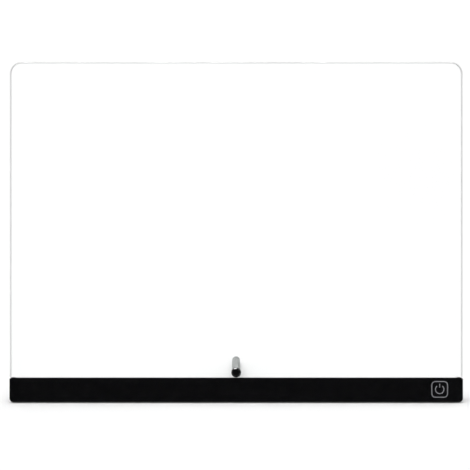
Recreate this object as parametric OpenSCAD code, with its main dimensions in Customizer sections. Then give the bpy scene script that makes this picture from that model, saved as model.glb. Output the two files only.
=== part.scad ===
// Light-up message board: a clear sheet standing in a lit base bar, leaning back on a plug-on leg.
// Pieces are drawn upright (x right, y to the back from the bar's front face, z up along the sheet
// from the bar's lower front edge), then leaned back as a whole onto the table at z = 0.

/* [Panel] */
// Width of the clear panel
panel_w = 400; // [340:5:500]
// Distance that the panel stands out past each end of the base bar
panel_overhang = 1; // [0:0.5:2]
// Height of the panel's top edge over the bar's lower front edge, along the panel
panel_h = 300; // [220:5:400]
// Thickness of the clear sheet
panel_t = 4; // [3:0.5:6]
// Radius of the panel's two top corners
panel_corner_r = 10.5; // [4:0.5:30]
// Angle that the board leans back from upright
lean = 12; // [9:0.5:16]

/* [Base bar] */
// Height of the bar's front face
bar_h = 21.3; // [20.6:0.1:24]
// Depth of the bar from its front face to its rear face
bar_d = 15; // [14.5:0.5:20]
// Depth of the slot behind the panel, as a share of its depth in front
rear_lip_share = 0.69; // [0.6:0.01:0.9]
// Wall thickness of the two shells
wall = 1.6; // [1.2:0.1:2]
// Thickness of the end walls, which carry the panel's shoulders
end_wall = 4; // [3:0.5:8]
// Radius of the bar's lower corners, seen from the front
bar_bottom_r = 4.2; // [1:0.1:5]
// Radius of the bar's upper corners, seen from the front
bar_top_r = 1.2; // [0.4:0.1:2]
// Radius of the bar's long edges
edge_r = 0.8; // [0.3:0.1:1.4]
// Foam-filled gap on each face of the panel inside the slot
slot_gap = 0.5; // [0.3:0.1:1]
// Thickness of the jaws that hang under the slot's lips
jaw_t = 1.2; // [0.8:0.1:2]

/* [Grip strip] */
// Distance of the rubber strip's ends from the bar's ends
strip_inset = 20; // [8:1:120]
// Width of the rubber strip
strip_w = 6; // [3:0.5:7]
// Thickness of the rubber strip
strip_t = 1; // [0.8:0.1:1.5]
// Height that the strip stands out of the sole
strip_proud = 0.6; // [0.3:0.1:1]

/* [Power key] */
// Side of the square key
key_size = 15.2; // [12:0.2:16]
// Corner radius of the key
key_r = 4; // [1:0.5:6]
// Distance of the key's centre from the bar's right end
key_inset = 20.6; // [18:0.2:40]
// Height of the key's centre over the middle of the bar's face
key_offset = 0.95; // [0:0.05:1.2]
// Height that the key stands out of the front face
key_proud = 0.3; // [0:0.1:1]
// Gap between the key and its window
key_gap = 0.25; // [0.15:0.05:0.5]
// Inward travel of the key
key_travel = 0.5; // [0.2:0.05:0.8]

/* [Leg] */
// Diameter of the leg's rod
leg_d = 7.4; // [6:0.2:8]
// Height of the leg's axis over the bar's top, along the panel
leg_over = 4.4; // [4.4:0.1:20]
// Diameter of the stud's shank
stud_d = 4; // [3:0.5:4.5]
// Diameter of the stud's head
stud_head_d = 8.7; // [7:0.1:8.7]
// Height of the stud's head
stud_head_t = 1.6; // [1:0.1:2.5]
// Length of the shank behind the washer
stud_reach = 10; // [6:0.5:16]
// Thickness of the washer behind the panel
washer_t = 0.8; // [0.5:0.1:1.5]
// Length of the leg's soft tip before its dome
tip_l = 7; // [5:0.5:15]
// Length of the rod's spigot inside the tip
spigot_l = 4; // [2:0.5:4.5]
// Radial clearance of the rod on the stud and of the tip on its spigot
plug_clearance = 0.05; // [0.02:0.01:0.1]

/* [Battery bay] */
// Diameter of a cell
cell_d = 10.5; // [8.3:0.1:10.6]
// Length of a cell with its nub
cell_l = 44.5; // [42:0.5:46]
// Room between a cell and the shells
cell_gap = 0.15; // [0.1:0.05:0.3]
// Length of the seated contact spring
spring_l = 5; // [4:0.5:7]
// Thickness of a contact plate
plate_t = 0.4; // [0.3:0.1:0.8]
// Gap around the battery door
door_gap = 0.25; // [0.15:0.05:0.5]
// Width of the ledge that the door closes onto
door_ledge = 1.6; // [1:0.1:2]
// Thickness of that ledge
door_ledge_t = 0.6; // [0.4:0.1:0.8]

/* [Lit strip] */
// Thickness of the strip's circuit board
led_board_t = 0.8; // [0.6:0.1:1]
// Width of the strip's circuit board
led_board_w = 7; // [5:0.5:8]
// Height of a light-emitting chip
led_t = 0.7; // [0.5:0.1:1]
// Distance between chips along the strip
led_pitch = 16.5; // [10:0.5:30]
// Air gap between the chips and the panel's lower edge
led_gap = 0.4; // [0.2:0.1:0.8]

/* [Control board] */
// Thickness of the control board
board_t = 1.2; // [0.8:0.1:1.6]
// Height of the tact switch's body
switch_h = 3.4; // [2.5:0.1:3.6]
// Side of the tact switch's body
switch_w = 6; // [4.5:0.1:6.2]
// Height that the plunger stands out of the switch
plunger_out = 0.9; // [0.85:0.05:1.2]
// Outer radius of the screw bosses
boss_r = 3.6; // [3:0.1:4]
// Diameter of the insulated wires
lead_d = 1; // [0.8:0.1:1.2]

/* [Hidden] */
$fn = 48;
over = 1;
panel_y = (bar_d - panel_t) / 2;
panel_back = panel_y + panel_t;
split_y = panel_y - slot_gap;
slot_back = panel_back + slot_gap;
bar_w = panel_w - 2 * panel_overhang;
slot_half = bar_w / 2 - end_wall;
tongue_end_gap = 0.3;
tongue_half = slot_half - tongue_end_gap;
corner_steps = 16;
seam_w = 0.3;
seam_depth = 0.3;
strip_l = bar_w - 2 * strip_inset;
strip_play = 0.15;
sole_shift = (split_y + bar_d) / 2 / cos(lean);

// Stack inside the bar, from the sole up to the panel's lower edge
cell_y = bar_d / 2;
cell_z = cell_y * tan(lean) + (wall + cell_d / 2 + cell_gap) / cos(lean);
strip_room = 0.6;
led_board_z = cell_z + cell_d / 2 + strip_room;
led_top = led_board_z + led_board_t + led_t;
panel_foot_z = led_top + led_gap;
slot_depth = bar_h - panel_foot_z;
rear_top = panel_foot_z + rear_lip_share * slot_depth;
shelf_t = 1;
shelf_grip = 1.2;
shelf_front = bar_d / 2 - led_board_w / 2 + shelf_grip;
shelf_back = bar_d / 2 + led_board_w / 2 - shelf_grip;
foam_foot_gap = 0.1 * slot_depth;
foam_sunk = 0.08 * slot_depth;

// Battery bay along x, with one node for each of its three cells
cell_count = 3;
cell_r = cell_d / 2;
cell_foot_r = 0.5;
cell_shoulder_r = 0.8;
nub_l = 0.8;
nub_r = 0.36 * cell_r;
nub_edge_r = 0.3;
bay_half = (cell_count * cell_l + spring_l + 2 * plate_t) / 2;
bay_wall = 1.6;
plate_side_gap = 0.8;
plate_top_gap = 1;
plate_w = cell_d - 2 * plate_side_gap;
plate_h = cell_d - 2 * plate_top_gap;
door_t = wall - door_ledge_t;
door_seat_gap = 0.1;
door_room = 0.2;
door_low = (bar_d - wall) * tan(lean) + wall / cos(lean) + door_room;
door_opening_h = cell_d / cos(lean) + 2 * door_room;
door_high = door_low + door_opening_h;
notch_half = 3.5;
notch_h = 0.9;
tongue_w = 14;
tongue_l = 7;
tongue_slit = 0.8;
ridge_count = 3;
ridge_pitch = 2;
ridge_w = 0.8;
ridge_proud = 0.4;
ridge_inset = 1;

// Screws: pilot holes in the front shell, deep counterbores in the rear shell
screw_r = 1.1;
screw_play = 0.03;
screw_head_r = 2.3;
screw_head_t = 1.7;
screw_head_depth = 3.6;
screw_head_y = bar_d - screw_head_depth;
screw_tip_room = 1.4;
screw_l = screw_head_y - wall - screw_tip_room;
screw_hole_play = 0.3;
boss_y = bar_d / 2;
boss_step = 0.6;
boss_room = 0.3;
front_boss_r = boss_r - boss_step;
end_screw_x = slot_half - front_boss_r - boss_room;
bay_screw_gap = 8;
bay_screw_x = bay_half + bay_wall + boss_r + bay_screw_gap;

// Key, switch and control board, one behind the other
key_x = bar_w / 2 - key_inset;
key_rise = bar_h / 2 + key_offset;
ear_gap = 0.15;
ear_t = 0.8;
ear_w = 1;
ear_h = 8;
key_room = 0.5;
key_back = wall + ear_gap + ear_t;
stem_l = 0.8;
stem_r = 2.2;
plunger_r = 1.7;
plunger_clearance = 0.05;
plunger_sunk = 0.6;
plunger_room = 0.2;
plunger_y = key_back + stem_l;
switch_y = plunger_y + plunger_out;
board_y = switch_y + switch_h;
board_back = board_y + board_t;
board_reach = 6.4;
board_room = 0.6;
board_floor_gap = 1;
board_left = key_x - key_size / 2 - board_reach;
board_right = end_screw_x - boss_r - board_room;
board_low = board_back * tan(lean) + wall / cos(lean) + board_floor_gap;
board_high = panel_foot_z - board_room;
post_r = 2;
post_top_gap = 0.2;
post_side_gap = 0.4;
post_z = board_high - post_r - post_top_gap;
post_x = [board_left + post_r + post_side_gap, board_right - post_r - post_side_gap];
board_screw_r = 0.8;
board_screw_l = 3.4;
board_screw_end_gap = 0.4;
board_screw_head_r = 1.6;
board_screw_head_t = 1.1;
board_hole_play = 0.2;
mid_screw_x = (bay_screw_x + board_left) / 2;
screw_xs = [-end_screw_x, -mid_screw_x, -bay_screw_x, bay_screw_x, mid_screw_x, end_screw_x];

// Parts on the back of the board: [from key's centre, over board's low edge], [width, height], thickness
parts_on_board = [
    [[-3, 3.2], [5, 4], 1.5],
    [[-8, 1.2], [1.6, 2.6], 0.8],
    [[-5.6, 1.2], [1, 2], 0.5],
    [[3.4, 1.2], [1, 2], 0.5],
    [[5.2, 1.2], [1, 2], 0.5]
];

// Lit strip along x
led_end_gap = 8;
led_margin = 4;
led_end = board_left - led_end_gap;
led_count = floor(2 * (led_end - led_margin) / led_pitch) + 1;
led_chip = [3.5, 2.8];

// Leg: the tip's dome touches the table
leg_rise = bar_h + leg_over;
leg_r = leg_d / 2;
leg_chamfer = 0.5;
stud_r = stud_d / 2;
stud_dome_r = 0.94 * stud_head_t;
washer_step = 0.2;
leg_start = panel_back + washer_t;
leg_end = (strip_proud + leg_rise * cos(lean) - leg_r) / sin(lean);
rod_end = leg_end - tip_l;
bore_end_gap = 0.8;
tip_end_gap = 0.3;
stud_hole_clearance = 0.1;

// Contact spring: a conical helix with straight ends
spring_wire_r = 0.35;
spring_turns = 3;
spring_rings = 8;
spring_sides = 6;
spring_base_r = 3.6;
spring_top_r = 2.2;

// Wires: hand-picked points along their way, and a way that none of them runs along
lead_r = lead_d / 2;
lead_sides = 8;
lead_steps = 4;
low_z = 4.2;
spring_side_way = [0.3, 0.2, 1];
lead_side_way = [0, 0.3, 1];
strip_side_ways = [[0.2, 1, 0.9], [0.2, 1, -0.9]];
negative_route = [
    [-bay_half + plate_t, 3.7, cell_z - 3.6],
    [-bay_half + plate_t + 1.2, 3.7, cell_z - 3.6],
    [-bay_half + plate_t + 4, 2.8, low_z],
    [-bay_half + 12, 2.7, low_z],
    [board_left - 12, 2.7, low_z],
    [board_left - 1, 3.2, low_z + 0.4],
    [board_left + 3.8, board_y - 1.6, board_low + 1.4],
    [board_left + 3.8, board_y, board_low + 1.4]
];
positive_route = [
    [bay_half, 4.1, cell_z - 2.4],
    [bay_half + 1.6, 4.1, cell_z - 2.4],
    [bay_half + 5, 4.1, low_z + 0.3],
    [bay_half + 12, 4.2, low_z],
    [board_left - 12, 4.2, low_z],
    [board_left - 3, 4.4, low_z + 0.5],
    [board_left + 1.4, board_y - 1.6, board_low + 1.4],
    [board_left + 1.4, board_y, board_low + 1.4]
];
strip_front_route = [
    [led_end - 2, 5.6, led_board_z],
    [led_end - 2, 5.6, led_board_z - 1.2],
    [led_end + 2, 5.7, led_board_z - 4],
    [board_left - 1.5, 5.8, board_low + 4.8],
    [board_left + 1.4, board_y - 1.4, board_low + 4.4],
    [board_left + 1.4, board_y, board_low + 4.4]
];
strip_rear_route = [
    [led_end - 2, 8.6, led_board_z],
    [led_end - 2, 8.6, led_board_z - 1.2],
    [led_end + 2, 9, led_board_z - 4],
    [board_left - 1.5, 10, board_low + 4.8],
    [board_left + 1.4, board_back + 1.4, board_low + 4.4],
    [board_left + 1.4, board_back, board_low + 4.4]
];

// Unit vector along v
function unit(v) = v / norm(v);

// Points of an arc that rounds corner p between its neighbours
function corner_arc(before, p, after, r, steps) =
    let (
        a = unit(before - p),
        b = unit(after - p),
        half = acos(a * b) / 2,
        centre = p + unit(a + b) * r / sin(half),
        from = p + a * r / tan(half) - centre,
        turn = cross(p - before, after - p) > 0 ? 1 : -1,
        sweep = turn * (180 - 2 * half)
    )
    [
        for (i = [0:steps])
            let (t = sweep * i / steps)
            centre + [from.x * cos(t) - from.y * sin(t), from.x * sin(t) + from.y * cos(t)]
    ];

// Outline with each corner rounded to its own radius
function rounded(points, radii, steps = 10) =
    let (n = len(points))
    [
        for (i = [0:n - 1])
            each radii[i] > 0
                ? corner_arc(points[(i + n - 1) % n], points[i], points[(i + 1) % n], radii[i], steps)
                : [points[i]]
    ];

// Place and direction on a smooth curve through four points, from b to c
function curve_point(a, b, c, d, t) =
    b + (c - a) * t / 2 + (2 * a - 5 * b + 4 * c - d) * t * t / 2 + (3 * b - a - 3 * c + d) * t * t * t / 2;
function curve_way(a, b, c, d, t) =
    unit((c - a) / 2 + (2 * a - 5 * b + 4 * c - d) * t + (3 * b - a - 3 * c + d) * 1.5 * t * t);

// Route with its two end points carried on straight
function carried_on(route) =
    let (n = len(route))
    concat([2 * route[0] - route[1]], route, [2 * route[n - 1] - route[n - 2]]);

// Rings [centre, direction] along a hand-picked route
function route_rings(route, steps) =
    let (p = carried_on(route), spans = len(route) - 1)
    [
        for (i = [0:spans - 1])
            for (s = [0:(i == spans - 1 ? steps : steps - 1)])
                [
                    curve_point(p[i], p[i + 1], p[i + 2], p[i + 3], s / steps),
                    curve_way(p[i], p[i + 1], p[i + 2], p[i + 3], s / steps)
                ]
    ];

// Tube of radius r through the rings
module swept_tube(rings, r, sides, side_way) {
    n = len(rings);
    points = [
        for (ring = rings)
            let (u = unit(cross(ring[1], side_way)), v = cross(u, ring[1]))
            for (k = [0:sides - 1])
                ring[0] + r * (cos(360 * k / sides) * u + sin(360 * k / sides) * v)
    ];
    walls = [
        for (i = [0:n - 2])
            for (k = [0:sides - 1])
                let (
                    a = i * sides + k,
                    b = i * sides + (k + 1) % sides,
                    c = a + sides,
                    d = b + sides
                )
                each [[a, c, b], [b, c, d]]
    ];
    start_cap = [for (k = [1:sides - 2]) [0, k, k + 1]];
    last = (n - 1) * sides;
    end_cap = [for (k = [1:sides - 2]) [last, last + k + 1, last + k]];
    polyhedron(points = points, faces = concat(walls, start_cap, end_cap));
}

// Leans the upright board back and sets it on the table
module stand() {
    translate([0, -sole_shift, strip_proud])
        rotate([-lean, 0, 0])
        children();
}

// Flat outline in (y, z) drawn out along x, centred
module along_x(length) {
    rotate([90, 0, 90])
        linear_extrude(length, center = true)
        children();
}

// Flat outline in (x, z) drawn out along y
module along_y(from, to) {
    translate([0, to, 0])
        rotate([90, 0, 0])
        linear_extrude(to - from)
        children();
}

// Round bar along y
module round_y(x, z, r, from, to) {
    translate([x, from, z])
        rotate([-90, 0, 0])
        cylinder(r = r, h = to - from);
}

// Side outline of the bar with its sloped sole and its lower rear lip, drawn in by inset
function side_points(inset) =
    let (back = bar_d - inset, lip = slot_back - inset, sole_lift = inset / cos(lean))
    [
        [inset, inset * tan(lean) + sole_lift],
        [back, back * tan(lean) + sole_lift],
        [back, rear_top - inset],
        [lip, rear_top - inset],
        [lip, bar_h - inset],
        [inset, bar_h - inset]
    ];

// Outer form of the whole bar
module bar_body() {
    half = bar_w / 2;
    intersection() {
        along_x(bar_w)
            polygon(rounded(side_points(0), [edge_r, edge_r, edge_r, 0, 0, edge_r]));
        along_y(-over, bar_d + over)
            polygon(rounded(
                [[-half, -over], [half, -over], [half, bar_h], [-half, bar_h]],
                [0, 0, bar_top_r, bar_top_r]
            ));
        rotate([lean, 0, 0])
            along_y(-bar_d, 2 * bar_d)
            polygon(rounded(
                [[-half, 0], [half, 0], [half, 2 * bar_h], [-half, 2 * bar_h]],
                [bar_bottom_r, bar_bottom_r, 0, 0]
            ));
        linear_extrude(2 * bar_h)
            polygon(rounded(
                [[-half, 0], [half, 0], [half, bar_d], [-half, bar_d]],
                [edge_r, edge_r, edge_r, edge_r]
            ));
    }
}

// Hollow of the bar
module bar_hollow() {
    along_x(2 * slot_half)
        polygon(side_points(wall));
}

// Keeps inner ribs and bosses inside the middle of the walls
module within_walls() {
    intersection() {
        along_x(2 * slot_half + end_wall)
            polygon(side_points(wall / 2));
        union() children();
    }
}

// Box from its low corner to its high corner
module box(low, high) {
    translate(low)
        cube(high - low);
}

// Square with rounded corners, centred
module rounded_square(side, r) {
    h = side / 2;
    polygon(rounded([[-h, -h], [h, -h], [h, h], [-h, h]], [r, r, r, r]));
}

module clear_panel() {
    half = panel_w / 2;
    color("lightcyan", 0.4)
        stand()
        difference() {
            along_y(panel_y, panel_back)
                polygon(rounded(
                    [
                        [-tongue_half, panel_foot_z], [tongue_half, panel_foot_z],
                        [tongue_half, bar_h], [half, bar_h],
                        [half, panel_h], [-half, panel_h],
                        [-half, bar_h], [-tongue_half, bar_h]
                    ],
                    [0, 0, 0, 0, panel_corner_r, panel_corner_r, 0, 0],
                    corner_steps
                ));
            round_y(0, leg_rise, stud_r + stud_hole_clearance, panel_y - over, panel_back + over);
        }
}

module front_cover() {
    color([0.05, 0.05, 0.055])
        stand()
        difference() {
            union() {
                difference() {
                    intersection() {
                        bar_body();
                        box([-panel_w, -over, -bar_h], [panel_w, split_y, 2 * bar_h]);
                    }
                    bar_hollow();
                }
                within_walls() {
                    box([-panel_w, split_y - jaw_t, panel_foot_z], [panel_w, split_y, bar_h]);
                    box([-led_end, 0, led_board_z - shelf_t], [led_end, shelf_front, led_board_z]);
                    for (x = screw_xs)
                        round_y(x, cell_z, front_boss_r, 0, boss_y);
                }
            }
            translate([key_x, 0, key_rise])
                along_y(-over, wall + over)
                rounded_square(key_size + 2 * key_gap, key_r + key_gap);
            key_clearance();
            for (x = screw_xs)
                round_y(x, cell_z, screw_r + screw_play, wall, boss_y + over);
        }
}

// Room behind the front wall for the key's cap and ears
module key_clearance() {
    h = key_size / 2 + ear_w + key_room;
    box([key_x - h, wall, key_rise - key_size / 2], [key_x + h, split_y + over, bar_h - wall]);
}

module rear_housing() {
    color([0.06, 0.06, 0.065])
        stand()
        difference() {
            union() {
                difference() {
                    intersection() {
                        bar_body();
                        box([-panel_w, split_y, -bar_h], [panel_w, 2 * bar_d, 2 * bar_h]);
                    }
                    bar_hollow();
                    box([-slot_half, 0, led_board_z], [slot_half, slot_back, bar_h + over]);
                    seam();
                }
                within_walls() {
                    box([-panel_w, slot_back, panel_foot_z], [panel_w, slot_back + jaw_t, bar_h]);
                    for (side = [-1, 1]) {
                        rear_shelf(side);
                        bay_end(side);
                    }
                    for (x = screw_xs)
                        round_y(x, cell_z, boss_r, boss_y, bar_d);
                    for (x = post_x)
                        round_y(x, post_z, post_r, board_back, bar_d);
                }
            }
            door_cut();
            for (x = screw_xs) {
                round_y(x, cell_z, screw_r + screw_hole_play, boss_y - over, bar_d);
                round_y(x, cell_z, screw_head_r + screw_hole_play, screw_head_y, bar_d + over);
            }
            for (x = post_x)
                round_y(x, post_z, board_screw_r + screw_play, board_back - over, board_back + board_screw_l);
            strip_pocket();
        }
}

// Shallow step around the rear shell's front edge, which shows as a seam between the shells
module seam() {
    difference() {
        box([-panel_w, split_y - over, -bar_h], [panel_w, split_y + seam_w, 2 * bar_h]);
        along_x(bar_w - 2 * seam_depth)
            polygon(side_points(seam_depth));
    }
}

// Ledge that carries the lit strip's rear edge beside the battery bay
module rear_shelf(side) {
    low = side > 0 ? bay_half : -led_end;
    high = side > 0 ? led_end : -bay_half;
    box([low, shelf_back, led_board_z - shelf_t], [high, bar_d, led_board_z]);
}

// End wall of the battery bay
module bay_end(side) {
    middle = side * (bay_half + bay_wall / 2);
    box(
        [middle - bay_wall / 2, split_y, 0],
        [middle + bay_wall / 2, bar_d, led_board_z - shelf_t]
    );
}

// Opening of the battery bay, the ledge around it and a nail notch over it
module door_cut() {
    box([-bay_half, bar_d - 2 * wall, door_low], [bay_half, bar_d + over, door_high]);
    box(
        [-bay_half - door_ledge, bar_d - door_t - door_seat_gap, door_low],
        [bay_half + door_ledge, bar_d + over, door_high + door_ledge]
    );
    box(
        [-notch_half, bar_d - door_t, door_high],
        [notch_half, bar_d + over, door_high + door_ledge + notch_h]
    );
}

// Shallow pocket for the grip strip, square to the table
module strip_pocket() {
    length = strip_l + 2 * strip_play;
    width = strip_w + 2 * strip_play;
    rotate([lean, 0, 0])
        translate([0, sole_shift, 0])
        box([-length / 2, -width / 2, -over], [length / 2, width / 2, strip_t - strip_proud]);
}

module slot_foam() {
    color("dimgray")
        stand()
        for (strip = [[split_y, bar_h], [panel_back, rear_top]])
            box(
                [-tongue_half, strip[0], panel_foot_z + foam_foot_gap],
                [tongue_half, strip[0] + slot_gap, strip[1] - foam_sunk]
            );
}

module led_board() {
    half_w = led_board_w / 2;
    color("white")
        stand()
        box(
            [-led_end, bar_d / 2 - half_w, led_board_z],
            [led_end, bar_d / 2 + half_w, led_board_z + led_board_t]
        );
}

module led_chips() {
    color("khaki")
        stand()
        for (i = [0:led_count - 1])
            translate([(i - (led_count - 1) / 2) * led_pitch, bar_d / 2, led_board_z + led_board_t])
            translate([-led_chip.x / 2, -led_chip.y / 2, 0])
            cube([led_chip.x, led_chip.y, led_t]);
}

module control_board() {
    color("seagreen")
        stand()
        difference() {
            box([board_left, board_y, board_low], [board_right, board_back, board_high]);
            for (x = post_x)
                round_y(x, post_z, board_screw_r + board_hole_play, board_y - over, board_back + over);
        }
}

// Driver chip, capacitor and resistors on the back of the control board
module board_components() {
    color([0.15, 0.15, 0.16])
        stand()
        for (part = parts_on_board)
            translate([key_x + part[0].x, board_back, board_low + part[0].y])
            cube([part[1].x, part[2], part[1].y]);
}

module switch_body() {
    h = switch_w / 2;
    color("dimgray")
        stand()
        difference() {
            box([key_x - h, switch_y, key_rise - h], [key_x + h, board_y, key_rise + h]);
            round_y(
                key_x, key_rise, plunger_r + plunger_clearance,
                switch_y - over, switch_y + plunger_sunk + key_travel + plunger_room
            );
        }
}

module switch_plunger() {
    color("black")
        stand()
        round_y(key_x, key_rise, plunger_r, plunger_y, switch_y + plunger_sunk);
}

// Cap with two ears behind the front wall and a stem on the switch
module power_key() {
    h = key_size / 2;
    color([0.07, 0.07, 0.075])
        stand() {
            translate([key_x, 0, key_rise])
                along_y(-key_proud, key_back)
                rounded_square(key_size, key_r);
            box(
                [key_x - h - ear_w, key_back - ear_t, key_rise - ear_h / 2],
                [key_x + h + ear_w, key_back, key_rise + ear_h / 2]
            );
            round_y(key_x, key_rise, stem_r, key_back - ear_t, plunger_y);
        }
}

// Pan-head screw along y with its head towards side (1 is the back)
module pan_screw(x, z, seat_y, side, head_r, head_t, shank_r, shank_l) {
    translate([x, seat_y, z])
        rotate([side > 0 ? -90 : 90, 0, 0]) {
            rotate_extrude()
                polygon(rounded(
                    [[0, 0], [head_r, 0], [head_r, head_t], [0, head_t]],
                    [0, 0, head_t / 2, 0],
                    6
                ));
            translate([0, 0, -shank_l])
                cylinder(r = shank_r, h = shank_l + head_t / 2);
        }
}

module board_screws() {
    color("silver")
        stand()
        for (x = post_x)
            pan_screw(
                x, post_z, board_y, -1, board_screw_head_r, board_screw_head_t,
                board_screw_r, board_t + board_screw_l - board_screw_end_gap
            );
}

module case_screws() {
    color("dimgray")
        stand()
        for (x = screw_xs)
            pan_screw(x, cell_z, screw_head_y, 1, screw_head_r, screw_head_t, screw_r, screw_l);
}

// Door with an outer plate, an inner plug and a springy tongue with ridges
module battery_door() {
    half = bay_half + door_ledge - door_gap;
    top = door_high + door_ledge - door_gap;
    color([0.06, 0.06, 0.065])
        stand() {
            difference() {
                union() {
                    box([-half, bar_d - door_t, door_low + door_gap], [half, bar_d, top]);
                    box(
                        [-bay_half + door_gap, bar_d - wall, door_low + door_gap],
                        [bay_half - door_gap, bar_d - door_t / 2, door_high - door_gap]
                    );
                }
                for (x = [-tongue_w / 2 - tongue_slit, tongue_w / 2])
                    box([x, 0, top - tongue_l], [x + tongue_slit, 2 * bar_d, top + over]);
            }
            for (i = [1:ridge_count])
                box(
                    [ridge_inset - tongue_w / 2, bar_d - door_t / 2, top - i * ridge_pitch],
                    [tongue_w / 2 - ridge_inset, bar_d + ridge_proud, top - i * ridge_pitch + ridge_w]
                );
        }
}

// Cylindrical cell number n, with its nub towards +x
module cell(n, body_color) {
    can_l = cell_l - nub_l;
    color(body_color)
        stand()
        translate([-bay_half + plate_t + spring_l + (n - 1) * cell_l, cell_y, cell_z])
        rotate([0, 90, 0])
        rotate_extrude()
        polygon(rounded(
            [[0, 0], [cell_r, 0], [cell_r, can_l], [nub_r, can_l], [nub_r, cell_l], [0, cell_l]],
            [0, cell_foot_r, cell_shoulder_r, 0, nub_edge_r, 0],
            6
        ));
}

module negative_plate() {
    color("silver")
        stand()
        contact_plate(-bay_half);
}

module positive_plate() {
    color("silver")
        stand()
        contact_plate(bay_half - plate_t);
}

// Flat contact at the end of the row of cells
module contact_plate(x) {
    box(
        [x, cell_y - plate_w / 2, cell_z - plate_h / 2],
        [x + plate_t, cell_y + plate_w / 2, cell_z + plate_h / 2]
    );
}

// Place on the spring's centre line, t turns along it
function spring_point(t, length) =
    let (
        share = t / spring_turns,
        r = spring_base_r + (spring_top_r - spring_base_r) * share,
        straight = 2 * spring_wire_r
    )
    [straight + (length - 2 * straight) * share, r * cos(360 * t), r * sin(360 * t)];

// Rings of the contact spring with straight ends
function spring_ring_list() =
    let (
        steps = spring_turns * spring_rings,
        helix = [for (i = [0:steps]) spring_point(i / spring_rings, spring_l)],
        first = [0, helix[0].y, helix[0].z],
        final = [spring_l, helix[steps].y, helix[steps].z],
        path = concat([first], helix, [final]),
        n = len(path)
    )
    [
        for (i = [0:n - 1])
            [path[i], i == 0 || i == n - 1 ? [1, 0, 0] : unit(path[i + 1] - path[i - 1])]
    ];

// Least clear distance between the spring's turns, half a turn or more apart
function spring_gap() =
    let (rings = spring_ring_list(), n = len(rings), apart = spring_rings / 2)
    min([
        for (i = [0:n - 1])
            for (j = [i + apart:1:n - 1])
                norm(rings[i][0] - rings[j][0])
    ]) - 2 * spring_wire_r;

module negative_spring() {
    echo(least_spring_gap = spring_gap());
    color("silver")
        stand()
        translate([-bay_half + plate_t, cell_y, cell_z])
        swept_tube(spring_ring_list(), spring_wire_r, spring_sides, spring_side_way);
}

module battery_leads() {
    color("firebrick")
        stand() {
            swept_tube(route_rings(negative_route, lead_steps), lead_r, lead_sides, lead_side_way);
            swept_tube(route_rings(positive_route, lead_steps), lead_r, lead_sides, lead_side_way);
        }
}

module strip_leads() {
    color("white")
        stand() {
            swept_tube(route_rings(strip_front_route, lead_steps), lead_r, lead_sides, strip_side_ways[0]);
            swept_tube(route_rings(strip_rear_route, lead_steps), lead_r, lead_sides, strip_side_ways[1]);
        }
}

module grip_strip() {
    color([0.12, 0.12, 0.12])
        translate([0, 0, strip_t / 2])
        cube([strip_l, strip_w, strip_t], center = true);
}

// Black stud with a low domed head on the panel's face
module leg_stud() {
    head_r = stud_head_d / 2;
    color("black")
        stand() {
            translate([0, panel_y, leg_rise])
                rotate([90, 0, 0])
                rotate_extrude()
                polygon(rounded(
                    [[0, 0], [head_r, 0], [head_r, stud_head_t], [0, stud_head_t]],
                    [0, 0, stud_dome_r, 0],
                    8
                ));
            round_y(0, leg_rise, stud_r, panel_y - stud_head_t / 2, leg_start + stud_reach);
        }
}

module stud_washer() {
    color("dimgray")
        stand()
        difference() {
            round_y(0, leg_rise, leg_r - washer_step, panel_back, leg_start);
            round_y(0, leg_rise, stud_r + stud_hole_clearance, panel_back - over, leg_start + over);
        }
}

module leg_rod() {
    bore_end = leg_start + stud_reach + bore_end_gap;
    color("silver")
        stand()
        difference() {
            union() {
                translate([0, leg_start, leg_rise])
                    rotate([-90, 0, 0])
                    rotate_extrude()
                    polygon([
                        [0, 0], [leg_r - leg_chamfer, 0], [leg_r, leg_chamfer],
                        [leg_r, rod_end - leg_start], [0, rod_end - leg_start]
                    ]);
                round_y(0, leg_rise, stud_r, rod_end - over, rod_end + spigot_l);
            }
            round_y(0, leg_rise, stud_r + plug_clearance, leg_start - over, bore_end);
        }
}

// Soft end of the leg: a sleeve on the rod's spigot with a dome on the table
module leg_tip() {
    color("darkgray")
        stand()
        difference() {
            union() {
                round_y(0, leg_rise, leg_r, rod_end, leg_end);
                translate([0, leg_end, leg_rise])
                    sphere(r = leg_r);
            }
            round_y(0, leg_rise, stud_r + plug_clearance, rod_end - over, rod_end + spigot_l + tip_end_gap);
        }
}

clear_panel();
front_cover();
rear_housing();
slot_foam();
led_board();
led_chips();
control_board();
board_components();
switch_body();
switch_plunger();
power_key();
board_screws();
case_screws();
battery_door();
cell(1, "steelblue");  // cell_1
cell(2, "steelblue");  // cell_2
cell(3, "steelblue");  // cell_3
negative_plate();
negative_spring();
positive_plate();
battery_leads();
strip_leads();
grip_strip();
leg_stud();
stud_washer();
leg_rod();
leg_tip();
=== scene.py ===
import math

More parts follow.
